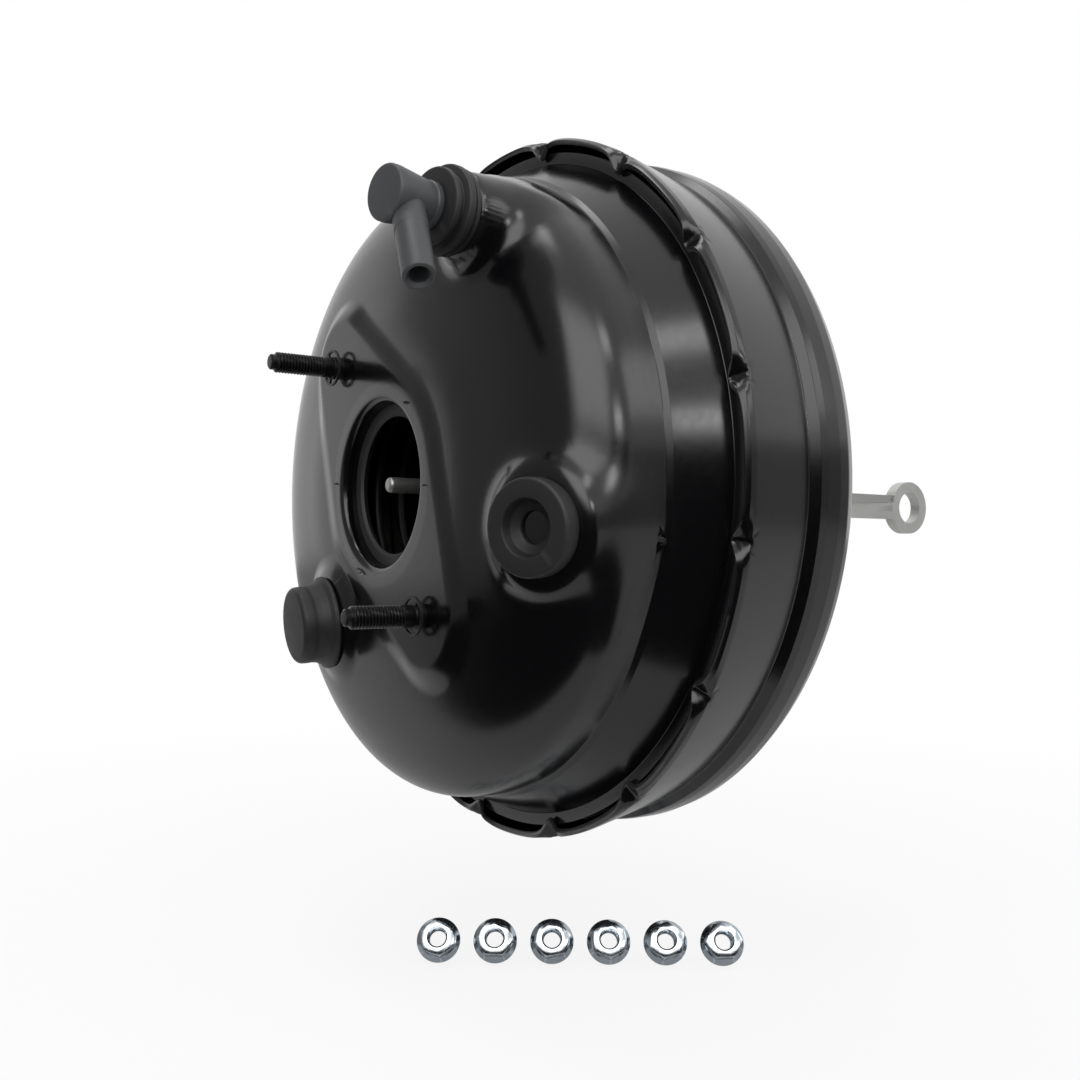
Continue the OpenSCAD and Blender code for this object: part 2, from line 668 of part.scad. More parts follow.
rod_head_y = cavity_y - pad_h - 2 * gap;
rod_tip_y = front_y + 4;
module output_rod() {
  r = output_rod_r;
  neck = nose_y - 6;
  color(steel) lathe(concat([[0, rod_head_y], [cavity_r - gap, rod_head_y], [cavity_r - gap, nose_y + gap],
    [r + 2.4, nose_y + gap], [r + 2.4, neck], [r, neck - 3]],
    arc([0, rod_tip_y + r], r, 0, -90, 5)));
}
output_rod();

holder_t = 1.3;
module reaction_retainer() {
  inner = nose_r + gap;
  face = nose_y - gap;
  color(steel) lathe([[8, face - holder_t], [inner + holder_t - 1, face - holder_t],
    [inner + holder_t, face - holder_t + 1], [inner + holder_t, spring_flange_y - 1],
    [inner, spring_flange_y - 1], [inner, face], [8, face]]);
}
reaction_retainer();

return_wire_r = 1.7;
return_coil_r = 40;
module return_spring() {
  foot = stud_plate_y + stud_plate_t + gap;
  color(dark_steel) translate([0, foot, 0]) rotate([-90, 0, 0])
    coil(return_coil_r, return_wire_r, spring_flange_y - gap - foot, 4.5, 24, 6);
}
return_spring();

// air valve, its key, the poppet and the springs behind it
ball_r = 5;
ball_y = -12;
valve_travel = 1.2;
head_front_y = -20;
stem_tip_y = -62.7;
groove_r = 4;
socket_r = ball_r + 0.14;
socket_mouth_r = 4.3;
module air_valve() {
  mouth = acos(socket_mouth_r / socket_r);
  color(steel) lathe(concat([[0, stem_tip_y], [stem_bore_r - 0.6, stem_tip_y], [stem_bore_r, stem_tip_y + 0.6],
    [stem_bore_r, key_y - gap], [groove_r, key_y - gap], [groove_r, key_y + key_t + gap + valve_travel],
    [stem_bore_r, key_y + key_t + gap + valve_travel], [stem_bore_r, head_front_y], [9.6, head_front_y],
    [10.4, head_front_y + 0.8], [10.4, seat_y - 1], [9.4, seat_y], [4.9, seat_y], [socket_mouth_r, seat_y - 0.6]],
    arc([0, ball_y], socket_r, mouth, -90, 9)));
}
air_valve();

module stop_key() {
  fork = groove_r + gap;
  color(steel) difference() {
    translate([-key_w / 2, key_y, key_low]) cube([key_w, key_t, key_top - key_low]);
    disc(fork, key_y - over, key_y + key_t + over);
    translate([-fork, key_y - over, key_low - over]) cube([2 * fork, key_t + 2 * over, -key_low + over]);
  }
}
stop_key();

poppet_y = seat_y + gap;
poppet_end_y = 8;
module poppet_valve() {
  outer = tail_bore_r - gap;
  color(rubber) lathe([[7.6, poppet_y], [14.6, poppet_y], [15, poppet_y + 0.4], [15, poppet_y + 2],
    [12.6, poppet_y + 2], [12.2, 0], [13.2, 2.4], [outer, 4.6], [outer, poppet_end_y], [13.6, poppet_end_y],
    [13.6, 6.4], [11.4, 3], [10.6, 0], [10.8, poppet_y + 2], [7.6, poppet_y + 2]]);
}
poppet_valve();

cup_y = poppet_end_y + gap;
cup_t = 1.4;
module spring_cup() {
  outer = tail_bore_r - gap;
  color(steel) lathe([[7.2, cup_y], [outer, cup_y], [outer, cup_y + 5], [outer - cup_t, cup_y + 5],
    [outer - cup_t, cup_y + cup_t], [7.2, cup_y + cup_t]]);
}
spring_cup();

module poppet_spring() {
  foot = poppet_y + 2 + gap;
  color(steel) translate([0, foot, 0]) rotate([-90, 0, 0])
    coil(9.3, 0.6, cup_y - gap - foot, 5, 14, 5);
}
poppet_spring();

collar_y = 24;
collar_r = 12.8;
module rod_spring() {
  foot = cup_y + cup_t + gap;
  color(steel) translate([0, foot, 0]) rotate([-90, 0, 0])
    coil(11, 0.9, collar_y - gap - foot, 4, 16, 5);
}
rod_spring();

foam_r = 9;
module air_silencer() {
  color(foam) ring(foam_r, tail_bore_r - gap, 28.4, 33);
}
air_silencer();

module air_filter() {
  color(foam) ring(foam_r, tail_bore_r - gap, 33.3, 44);
}
air_filter();

// input rod: ball, neck, spring collar, round shank, flat bar and eye
rod_neck_r = 3.2;
bar_h = 12;
bar_y = 106;
module operating_rod() {
  shank_end = bar_y - 6;
  color(steel) difference() {
    union() {
      lathe(concat([[0, ball_y - ball_r]], [for (i = [1:8]) [ball_r * sin(17 * i), ball_y - ball_r * cos(17 * i)]],
        [[rod_neck_r, ball_y + 4.4], [rod_neck_r, -2], [rod_r, 0], [rod_r, collar_y], [collar_r - 0.6, collar_y],
          [collar_r, collar_y + 0.6], [collar_r, collar_y + 2], [rod_r + 1, collar_y + 2.4], [rod_r, collar_y + 4],
          [rod_r, shank_end], [bar_t / 2, bar_y + 6], [0, bar_y + 6]]));
      translate([-bar_t / 2, bar_y - 2, -bar_h / 2])
        cube([bar_t, eye_reach - eye_outer_r * 0.6 - bar_y + 2, bar_h]);
      translate([-bar_t / 2, shank_end, 0]) rotate([0, 90, 0])
        linear_extrude(bar_t) polygon([[rod_r - 0.6, 0], [bar_h / 2, bar_y - shank_end],
          [-bar_h / 2, bar_y - shank_end], [-rod_r + 0.6, 0]]);
      translate([-bar_t / 2, eye_reach, 0]) rotate([0, 90, 0]) cylinder(r = eye_outer_r, h = bar_t);
    }
    translate([-bar_t / 2 - over, eye_reach, 0]) rotate([0, 90, 0]) cylinder(r = eye_hole_r, h = bar_t + 2 * over);
  }
}
operating_rod();

// the six flange nuts, standing apart in their row below the drum
nut_flats = 13;
nut_h = 8;
nut_hole_r = 3.4;
nut_flange_h = 1.3;
nut_row = [18.4, front_y + 83.1, -179.7];
nut_row_turn = 55.5;
nut_turns = [10, 28, 42, 5, 51, 33];
nut_face = 63;
module flange_nut() {
  corner = nut_flats / 2 / cos(30);
  translate([0, 0, -nut_h / 2]) difference() {
    union() {
      cylinder(r = nut_flange_r, h = nut_flange_h);
      translate([0, 0, nut_flange_h])
        cylinder(r1 = nut_flange_r, r2 = corner - 0.6, h = nut_flange_h);
      intersection() {
        cylinder(r = corner, h = nut_h, $fn = 6);
        cylinder(r1 = corner + nut_h - 0.9, r2 = corner - 0.9, h = nut_h);
      }
    }
    translate([0, 0, -over]) cylinder(r = nut_hole_r, h = nut_h + 2 * over);
    translate([0, 0, nut_h - 0.8]) cylinder(r1 = nut_hole_r, r2 = nut_hole_r + 0.8 + over, h = 0.8 + over);
    translate([0, 0, -over]) cylinder(r1 = nut_hole_r + 0.8 + over, r2 = nut_hole_r, h = 0.8 + over);
  }
}
module mounting_nuts() {
  color(zinc) translate(nut_row) rotate([0, 0, nut_row_turn])
    for (k = [0:5]) translate([(k - 2.5) * nut_pitch, 0, 0])
      rotate([0, 0, -35 - nut_row_turn]) rotate([0, nut_face, 0]) rotate([0, 0, nut_turns[k]]) flange_nut();
}
mounting_nuts();
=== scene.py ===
# %% [markdown]
# # A vacuum brake booster
# The booster is a drum of pressed steel, painted satin black, with rubber and nylon fittings,
# steel studs and a push rod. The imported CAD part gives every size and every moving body. This
# lesson puts finer visible pieces round it and gives each surface the finish of the real one.

import json
import math

import bpy
import numpy as np
from mathutils import Matrix, Vector

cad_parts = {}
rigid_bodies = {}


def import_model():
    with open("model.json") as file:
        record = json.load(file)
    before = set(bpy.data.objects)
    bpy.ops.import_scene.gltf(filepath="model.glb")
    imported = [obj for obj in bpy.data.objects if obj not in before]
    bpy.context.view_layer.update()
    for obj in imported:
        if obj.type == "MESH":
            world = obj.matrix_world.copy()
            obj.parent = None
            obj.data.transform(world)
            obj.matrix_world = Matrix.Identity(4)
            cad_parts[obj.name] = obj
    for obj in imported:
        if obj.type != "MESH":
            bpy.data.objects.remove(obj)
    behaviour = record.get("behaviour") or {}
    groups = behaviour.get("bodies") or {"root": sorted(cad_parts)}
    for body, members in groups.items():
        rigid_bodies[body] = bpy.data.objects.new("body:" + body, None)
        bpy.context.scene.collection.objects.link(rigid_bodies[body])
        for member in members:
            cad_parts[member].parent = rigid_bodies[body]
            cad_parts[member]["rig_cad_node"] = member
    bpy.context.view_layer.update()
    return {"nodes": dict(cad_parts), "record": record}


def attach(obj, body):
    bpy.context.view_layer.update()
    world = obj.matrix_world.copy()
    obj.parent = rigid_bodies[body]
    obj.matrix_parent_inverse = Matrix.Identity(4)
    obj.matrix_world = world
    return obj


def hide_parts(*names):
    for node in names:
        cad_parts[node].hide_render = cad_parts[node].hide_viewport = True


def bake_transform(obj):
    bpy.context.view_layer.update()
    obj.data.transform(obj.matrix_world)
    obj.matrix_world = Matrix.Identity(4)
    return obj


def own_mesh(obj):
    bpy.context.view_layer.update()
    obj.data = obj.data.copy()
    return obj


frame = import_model()
MM = 0.001
print("CAD nodes:", len(frame["nodes"]))

# %% [markdown]
# ## The camera
# The photograph's circles (bore, step line, crimp and rim) fix where the camera stood. Its three
# directions are written as rows and turned into one matrix, which is surer than turning by hand.

# %% Camera
to_right = Vector((0.56612, 0.82424, 0.01154))
to_top = Vector((0.0, -0.0140, 0.99990))
to_back = Vector((0.82432, -0.56607, -0.00793))
stands_at = Vector((0.40485, -0.32613, -0.02365))
camera = bpy.data.objects.new("camera", bpy.data.cameras.new("camera"))
bpy.context.scene.collection.objects.link(camera)
camera.matrix_world = Matrix([(*row, at) for row, at in zip(zip(to_right, to_top, to_back), stands_at)] + [(0, 0, 0, 1)])
camera.data.lens = 40
camera.data.sensor_width = 36
camera.data.clip_start = 0.01
bpy.context.scene.camera = camera
print("camera at", tuple(round(v, 3) for v in stands_at))

# %% [markdown]
# ## Colours and nodes
# Colours are read off as sRGB hex values, and shaders work in linear light, so one function turns
# one into the other. A second function adds any node with its settings and its links.


# %% Colour and node helpers
def linear(hex_colour):
    parts = [int(hex_colour[i:i + 2], 16) / 255 for i in (1, 3, 5)]
    return [p / 12.92 if p <= 0.04045 else ((p + 0.055) / 1.055) ** 2.4 for p in parts] + [1.0]


def add(material, kind, settings=None, links=None):
    node = material.node_tree.nodes.new(kind)
    for key, value in (settings or {}).items():
        if isinstance(key, str) and hasattr(node, key):
            setattr(node, key, value)
        else:
            node.inputs[key].default_value = value
    for key, socket in (links or {}).items():
        material.node_tree.links.new(socket, node.inputs[key])
    return node


print("paint black in linear light:", [round(v, 4) for v in linear("#0c0c0d")[:3]])

# %% [markdown]
# ## One recipe for a worked surface
# Every finish here has the same four parts: a colour that drifts a little from place to place, a
# roughness that drifts too, a fine relief, and lighter edges: scuffing where hands and boxes touch
# them, and on the black paint also a painted highlight along the sheet's edges. The recipe takes the
# size of each pattern in millimetres, so it stays true to scale.


# %% Surface recipe
def surface(name, colour, drift, edge_scuff_and_highlight_colour, rough, grain_mm, relief_mm, cloud_mm=30, edge_scuff_and_highlight_share=0.5, stretch=(1, 1, 1), **sockets):
    material = bpy.data.materials.new(name)
    material.use_nodes = True
    material.node_tree.nodes.clear()
    where = add(material, "ShaderNodeTexCoord").outputs["Object"]
    along = add(material, "ShaderNodeMapping", {"Scale": stretch}, {"Vector": where}).outputs["Vector"]
    cloud = add(material, "ShaderNodeTexNoise", {"Scale": 1 / (cloud_mm * MM), "Detail": 3.0}, {"Vector": where})
    grain = add(material, "ShaderNodeTexNoise", {"Scale": 1 / (grain_mm * MM), "Detail": 4.0}, {"Vector": along})
    edges = add(material, "ShaderNodeNewGeometry").outputs["Pointiness"]
    # Edges found by pointiness get a lighter colour: scuffing, and on the black paint also a painted highlight.
    edge_scuff_and_highlight_mask = add(material, "ShaderNodeMapRange", {"From Min": 0.51, "From Max": 0.6, "To Max": edge_scuff_and_highlight_share}, {"Value": edges})
    body = add(material, "ShaderNodeMix", {"data_type": "RGBA", 6: linear(colour), 7: linear(drift)}, {0: cloud.outputs["Fac"]})
    colour_with_scuffed_and_lit_edges = add(material, "ShaderNodeMix", {"data_type": "RGBA", 7: linear(edge_scuff_and_highlight_colour)}, {0: edge_scuff_and_highlight_mask.outputs["Result"], 6: body.outputs[2]})
    mixed = add(material, "ShaderNodeMath", {"operation": "ADD"}, {0: cloud.outputs["Fac"], 1: grain.outputs["Fac"]})
    gloss = add(material, "ShaderNodeMapRange", {"From Min": 0.7, "From Max": 1.3, "To Min": rough[0], "To Max": rough[1]},
                {"Value": mixed.outputs[0]})
    relief = add(material, "ShaderNodeBump", {"Strength": 1.0, "Distance": relief_mm * MM}, {"Height": grain.outputs["Fac"]})
    shader = add(material, "ShaderNodeBsdfPrincipled", sockets, {"Base Color": colour_with_scuffed_and_lit_edges.outputs[2], "Roughness": gloss.outputs["Result"],
                 "Normal": relief.outputs["Normal"]})
    add(material, "ShaderNodeOutputMaterial", {}, {"Surface": shader.outputs[0]})
    return material


print("recipe ready")

# %% [markdown]
# ## The finishes
# The drum is steel with a gloss black stoving paint: very dark and nearly a mirror, with the faint
# waviness of a sprayed coat. The studs are black zinc, the nuts bright zinc with its cold tint,
# the push rod is forged and plated, and the inner plates are plain pressed steel. Rubber is matt
# and a little dusty, nylon shows moulding grain, the resin hub is brown and the foam is open.

# %% Finishes
FINISH = {
    # The black paint's lighter edges are partly thin, scuffed paint and partly a painted highlight along the sheet's
    # edges.
    "black_paint": surface("gloss_black_stoving_paint", "#08080a", "#0a0a0c", "#3c3c3e", (0.16, 0.22), 2.4, 0.0025, 60, edge_scuff_and_highlight_share=0.6,
                           **{"Specular IOR Level": 0.5}),
    "dark_zinc": surface("black_zinc_plate", "#0c0c0d", "#151516", "#4a4a4c", (0.3, 0.45), 0.35, 0.006, edge_scuff_and_highlight_share=0.4, Metallic=0.6),
    "plain_steel": surface("pressed_steel", "#5c5c5a", "#6b6a67", "#94938f", (0.28, 0.42), 0.5, 0.008, Metallic=1.0),
    "rod_steel": surface("forged_plated_steel", "#a5a5a3", "#b4b4b1", "#d2d2ce", (0.34, 0.5), 0.7, 0.03, 14, Metallic=0.9),
    "spring_steel": surface("phosphated_spring_wire", "#1e1e1f", "#29292a", "#5a5a5a", (0.4, 0.55), 0.3, 0.006, Metallic=0.9),
    "bright_zinc": surface("bright_zinc_plate", "#98a1a9", "#adb4ba", "#dfe3e6", (0.12, 0.22), 0.6, 0.006, 9, Metallic=1.0),
    "black_rubber": surface("moulded_black_rubber", "#171718", "#1d1d1e", "#363637", (0.5, 0.62), 0.4, 0.012, 12, edge_scuff_and_highlight_share=0.4),
    "dark_nylon": surface("glass_filled_nylon", "#38393b", "#3f4042", "#58595b", (0.42, 0.54), 0.28, 0.014, 16, edge_scuff_and_highlight_share=0.4),
    "brown_resin": surface("moulded_phenolic", "#3b2418", "#4a2f20", "#6b4a36", (0.4, 0.55), 0.5, 0.015, 18),
    "grey_foam": surface("open_cell_foam", "#2c2c2a", "#3a3a38", "#4c4c49", (0.8, 0.95), 0.7, 0.25, 10),
}
for node in frame["nodes"].values():
    slot_of = {s["node"]: s["material_slot"] for s in frame["record"]["subparts"]}
    node.data.materials.clear()
    node.data.materials.append(FINISH[slot_of[node["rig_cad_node"]]])
print("finishes:", len(FINISH))

# %% [markdown]
# ## Drawing and spinning a profile
# Nearly every piece of a booster is round, so most start as half of their outline: one vertex is
# extruded from point to point and the line is spun about the axis, as on a lathe. Corners of the
# outline are rounded first, because a real pressing or moulding has no sharp edge and the thin
# highlight along a rounded edge is what makes it look solid.


# %% Profile helpers
def soft_corners(points, steps=5):
    """Rounds each corner whose point carries a third number, its radius in mm."""
    out = []
    for i, point in enumerate(points):
        here = Vector(point[:2])
        radius = point[2] if len(point) > 2 else 0
        if not radius or i in (0, len(points) - 1):
            out.append(tuple(here))
            continue
        a, b = Vector(points[i - 1][:2]) - here, Vector(points[i + 1][:2]) - here
        half = a.angle(b) / 2
        if half > math.radians(89.5):
            out.append(tuple(here))
            continue
        reach = min(radius / math.tan(half), 0.48 * a.length, 0.48 * b.length)
        radius = reach * math.tan(half)
        start, end = here + a.normalized() * reach, here + b.normalized() * reach
        centre = here + (a.normalized() + b.normalized()).normalized() * (radius / math.sin(half))
        u, v = start - centre, end - centre
        bend = u.angle(v)
        for k in range(steps + 1):
            t = k / steps
            out.append(tuple(centre + (u * math.sin((1 - t) * bend) + v * math.sin(t * bend)) / math.sin(bend)))
    return out


def short_steps(points, step):
    """Splits long stretches of an outline, so that the spun wall has rows to shape."""
    out = [points[0]]
    for a, b in zip(points, points[1:]):
        count = max(1, math.ceil(math.dist(a, b) / step))
        out += [(a[0] + (b[0] - a[0]) * k / count, a[1] + (b[1] - a[1]) * k / count) for k in range(1, count + 1)]
    return out


def clear_selection():
    if bpy.context.object and bpy.context.object.mode != "OBJECT":
        bpy.ops.object.mode_set(mode="OBJECT")
    bpy.ops.object.select_all(action="DESELECT")


def turned(name, points, sides=96, place=Matrix.Identity(4), closed=False):
    """Spins an outline of (radius, height) in mm about Z, then puts it in its place."""
    clear_selection()
    if closed:
        points = list(points) + [points[0]]
    bpy.ops.mesh.primitive_plane_add(size=MM)
    piece = bpy.context.object
    piece.name = piece.data.name = name
    bpy.ops.object.mode_set(mode="EDIT")
    bpy.ops.mesh.select_mode(type="VERT")
    bpy.ops.mesh.select_all(action="SELECT")
    bpy.ops.mesh.merge(type="CENTER")
    bpy.ops.transform.translate(value=(points[0][0] * MM, 0, points[0][1] * MM))
    for a, b in zip(points, points[1:]):
        bpy.ops.mesh.extrude_region_move(TRANSFORM_OT_translate={"value": ((b[0] - a[0]) * MM, 0, (b[1] - a[1]) * MM)})
    bpy.ops.mesh.select_all(action="SELECT")
    bpy.ops.mesh.spin(steps=sides, angle=math.tau, center=(0, 0, 0), axis=(0, 0, 1))
    bpy.ops.mesh.select_all(action="SELECT")
    bpy.ops.mesh.remove_doubles(threshold=2e-6)
    bpy.ops.mesh.normals_make_consistent(inside=False)
    bpy.ops.object.mode_set(mode="OBJECT")
    piece.data.transform(place)
    return piece


def apply_modifier(piece, kind, **settings):
    clear_selection()
    piece.select_set(True)
    bpy.context.view_layer.objects.active = piece
    modifier = piece.modifiers.new(kind.lower(), kind)
    for key, value in settings.items():
        setattr(modifier, key, value)
    bpy.ops.object.modifier_apply(modifier=modifier.name)
    return piece


def dress(piece, body, slot, *nodes, angle=32):
    """Smooths a finished piece, gives it its finish, and ties it to its body."""
    clear_selection()
    piece.select_set(True)
    bpy.context.view_layer.objects.active = piece
    bpy.ops.object.shade_smooth_by_angle(angle=math.radians(angle))
    piece.data.materials.clear()
    piece.data.materials.append(FINISH[slot])
    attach(piece, body)
    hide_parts(*nodes)
    print(f"{piece.name}: {len(piece.data.vertices)} points")
    return piece


def points_of(piece):
    flat = np.empty(len(piece.data.vertices) * 3)
    piece.data.vertices.foreach_get("co", flat)
    return flat.reshape(-1, 3) / MM


def set_points(piece, points):
    piece.data.vertices.foreach_set("co", (points * MM).ravel())
    piece.data.update()


ALONG_Y = Matrix.Rotation(-math.pi / 2, 4, "X")
FORWARD = Matrix.Rotation(math.pi / 2, 4, "X")


def boss_place(at, tilt, toward):
    turns = Matrix.Rotation(math.radians(toward), 4, "Z") @ Matrix.Rotation(math.radians(tilt), 4, "Y")
    return Matrix.Translation(Vector(at) * MM) @ FORWARD @ turns


print("profile helpers ready")

# %% [markdown]
# ## The front shell
# One deep drawing in 1.8 mm sheet: a shallow dome, a round shoulder, a short straight side, a step
# and a band that flares out to a flange. A spun profile gives all of that. The flat pad for the master
# cylinder and the three raised seats aren't round about the axis, so the sheet is made finer where
# they are and then pressed: each point moves out to a form that melts into the dome, as metal does.

# %% Front shell sizes
FRONT = -122.0
PAD_RISE = 1.2
CROWN = [(36, 1.2), (56, 1.2), (72, 2.6), (84, 4), (93, 5.6), (100, 7.8), (105.6, 10.4), (110.2, 13.6), (113.8, 17.4),
         (116.4, 21.8), (117.8, 26.6), (118.2, 32)]
SEATS = {
    "valve": {"at": (59.0, -125, 88.0), "tilt": 10, "toward": 12, "top": 14.2, "slope": 0.12, "melt": 9, "edge": 1.6},
    "port": {"at": (99.2, -116.6, -16.8), "tilt": 19, "toward": -9, "top": 19, "slope": 0.2, "melt": 10, "edge": 2},
    "plug": {"at": (-44, -121.6, -54), "tilt": 8, "toward": 220, "top": 19, "slope": 0.5, "melt": 6, "edge": 2},
}


def smooth_curve(points, per=6):
    """A curve through all the points that has no corner (Catmull-Rom)."""
    p = [np.array(points[0]) * 2 - np.array(points[1])] + [np.array(q, float) for q in points]
    p.append(p[-1] * 2 - p[-2])
    out = []
    for a, b, c, d in zip(p, p[1:], p[2:], p[3:]):
        for k in range(per):
            t = k / per
            out.append(tuple(0.5 * (2 * b + (c - a) * t + (2 * a - 5 * b + 4 * c - d) * t * t + (3 * b - a - 3 * c + d) * t ** 3)))
    return out + [tuple(p[-2])]


crown = [(r, FRONT + y) for r, y in short_steps(smooth_curve(CROWN), 2.0)]
lip = soft_corners([(30.8, FRONT + 9), (30.8, FRONT, 3.2), (36, FRONT)], 8)
FLANGE = -61.4
side = soft_corners([(118.2, -90), (118.2, -81.8, 1), (119.6, -79.9, 0.8), (127.6, FLANGE, 0.5), (132, FLANGE)], 5)
front_outline = short_steps(lip + crown + side[1:], 2.2)
print("front outline has", len(front_outline), "points")

# %% Front shell spun and refined
front_shell = turned("front_shell_pressing", front_outline, 240, ALONG_Y)


def pad_distance(x, z):
    """Distance to the pad's outline: a circle about the bore drawn out to one about each stud."""
    long_way = np.abs(-0.58779 * x + 0.80902 * z)
    wide_way = np.abs(0.80902 * x + 0.58779 * z)
    mid, end, reach = 38.0, 18.0, 58.65
    b = (mid - end) / reach
    a = math.sqrt(1 - b * b)
    k = -b * wide_way + a * long_way
    flank = a * wide_way + b * long_way - mid
    return np.where(k < 0, np.hypot(wide_way, long_way) - mid,
                    np.where(k > a * reach, np.hypot(wide_way, long_way - reach) - end, flank))


def from_seat(points, seat):
    """Distance from a seat's axis and height above its face."""
    back = np.array(boss_place(seat["at"], seat["tilt"], seat["toward"]).to_3x3())
    local = (points - np.array(seat["at"])) @ back
    return np.hypot(local[:, 0], local[:, 1]), local[:, 2]


def refine(piece, wanted, cuts):
    """Selects the faces whose centres are wanted and subdivides them."""
    centres = np.empty(len(piece.data.polygons) * 3)
    piece.data.polygons.foreach_get("center", centres)
    chosen = wanted(centres.reshape(-1, 3) / MM)
    clear_selection()
    piece.select_set(True)
    bpy.context.view_layer.objects.active = piece
    bpy.ops.object.mode_set(mode="EDIT")
    bpy.ops.mesh.select_all(action="DESELECT")
    bpy.ops.object.mode_set(mode="OBJECT")
    piece.data.polygons.foreach_set("select", chosen)
    bpy.ops.object.mode_set(mode="EDIT")
    bpy.ops.mesh.select_mode(type="FACE")
    bpy.ops.mesh.subdivide(number_cuts=cuts)
    bpy.ops.object.mode_set(mode="OBJECT")
    print("refined", int(chosen.sum()), "faces")


def near_pad_edge(p):
    return (np.abs(pad_distance(p[:, 0], p[:, 2]) - 6) < 9) & (np.hypot(p[:, 0], p[:, 2]) > 36) & (p[:, 1] < -105)


def near_a_seat(p):
    found = np.zeros(len(p), bool)
    for seat in SEATS.values():
        away, height = from_seat(p, seat)
        found |= (away < seat["top"] + 9) & (height > -36)
    return found


refine(front_shell, near_pad_edge, 1)
refine(front_shell, near_a_seat, 2)

# %% Press the pad and the three seats


def ease(t):
    t = np.clip(t, 0, 1)
    return t * t * (3 - 2 * t)


def melt_in(a, b, k):
    h = np.clip(k - np.abs(a - b), 0, None) / k
    return np.minimum(a, b) - h * h * k / 4


def dome_distance(points):
    """How far a point is outside the spun profile, and which way the profile faces there."""
    line = np.array(crown + side[1:14])
    start, run = line[:-1], np.diff(line, axis=0)
    flat = np.stack([np.hypot(points[:, 0], points[:, 2]), points[:, 1]], 1)
    t = np.clip(((flat[:, None] - start) * run).sum(2) / (run * run).sum(1), 0, 1)
    offset = flat[:, None] - (start + t[..., None] * run)
    nearest = np.hypot(offset[..., 0], offset[..., 1]).argmin(1)
    rows = np.arange(len(points))
    face = np.stack([run[:, 1], -run[:, 0]], 1) / np.hypot(run[:, 0], run[:, 1])[:, None]
    off, out = offset[rows, nearest], face[nearest]
    return np.copysign(np.hypot(off[:, 0], off[:, 1]), (off * out).sum(1)), out


def seat_distance(points, seat):
    away, height = from_seat(points, seat)
    lean = math.cos(math.atan(seat["slope"]))
    flank = (away - seat["top"] + seat["slope"] * height) * lean
    return -melt_in(-flank, -height, 2 * seat["edge"])


def press_seat(points, seat):
    away, height = from_seat(points, seat)
    chosen = np.where((away < seat["top"] + 17) & (height > -42) & (points[:, 1] < -78))[0]
    p = points[chosen]
    axis = np.array(boss_place(seat["at"], seat["tilt"], seat["toward"]).to_3x3()) @ np.array((0, 0, 1.0))
    _, out = dome_distance(p)
    radius = np.hypot(p[:, 0], p[:, 2])[:, None]
    normal = np.stack([p[:, 0] / radius[:, 0] * out[:, 0], out[:, 1], p[:, 2] / radius[:, 0] * out[:, 0]], 1)
    share = 1 - ease((away[chosen] - seat["top"]) / 14)[:, None]
    way = normal * (1 - share) + axis * share
    way /= np.linalg.norm(way, axis=1)[:, None]
    travel = np.full(len(p), 34.0)
    for _ in range(60):
        here = p + way * travel[:, None]
        travel -= 0.8 * melt_in(dome_distance(here)[0], seat_distance(here, seat), seat["melt"])
    fade = ease((height[chosen] + 42) / 15)
    points[chosen] = p + way * (np.clip(travel, 0, 34) * fade)[:, None]


shape = points_of(front_shell)
radius = np.hypot(shape[:, 0], shape[:, 2])
on_dome = (radius > 35.9) & (shape[:, 1] < -105)
rise = 1 - ease(pad_distance(shape[:, 0], shape[:, 2]) / 10)
shape[on_dome, 1] += ((FRONT - shape[:, 1]) * rise)[on_dome]
for seat in SEATS.values():
    press_seat(shape, seat)
set_points(front_shell, shape)
apply_modifier(front_shell, "SOLIDIFY", thickness=1.8 * MM, offset=-1)
dress(front_shell, "housing", "black_paint", "front_shell", angle=50)

# %% [markdown]
# ## The rear shell
# The drum's rear half reaches forward over the front one. Its lip is folded and then staked with
# sixteen blows of a round punch, which pull the free edge inwards, so it runs in lobes. The wall is
# spun with a fine mesh at the lip, and the punch marks are pressed into its points.

# %% Rear shell
LIP_EDGE, DENT = -65.0, -62.2
rear_outline = soft_corners([(136.0, LIP_EDGE), (137, LIP_EDGE + 1.6, 0.8), (136.9, -61, 6), (130.9, -31.3, 1.2), (133.6, -28.4, 0.6),
                             (134, -25.4, 0.6), (134, -19.6, 0.5), (133.1, -14.6, 4), (130.2, -9.4, 6), (125.6, -6.2, 4),
                             (119.2, -4.7, 6), (112.2, -4.4, 6), (71, -4.4, 3), (66, 0, 2), (33, 0, 3), (30, 3, 3), (30, 32)], 5)
lip_rows = [p for p in short_steps(rear_outline, 1.0) if p[1] < -50]
drum_rows = [p for p in short_steps(rear_outline, 5) if p[1] >= -50]
rear_shell = turned("rear_shell_pressing", lip_rows + drum_rows, 640, ALONG_Y)
DENT_ANGLES = [math.radians(13.7 + 22.5 * k) for k in range(16)]


def arc_from(turn, p):
    """How far round the lip a point is from a dent, in mm."""
    return 137 * ((np.arctan2(p[:, 2], p[:, 0]) - turn + math.pi) % math.tau - math.pi)


def near_a_dent(p):
    return (np.min([np.abs(arc_from(turn, p)) for turn in DENT_ANGLES], axis=0) < 9) & (p[:, 1] < -54)


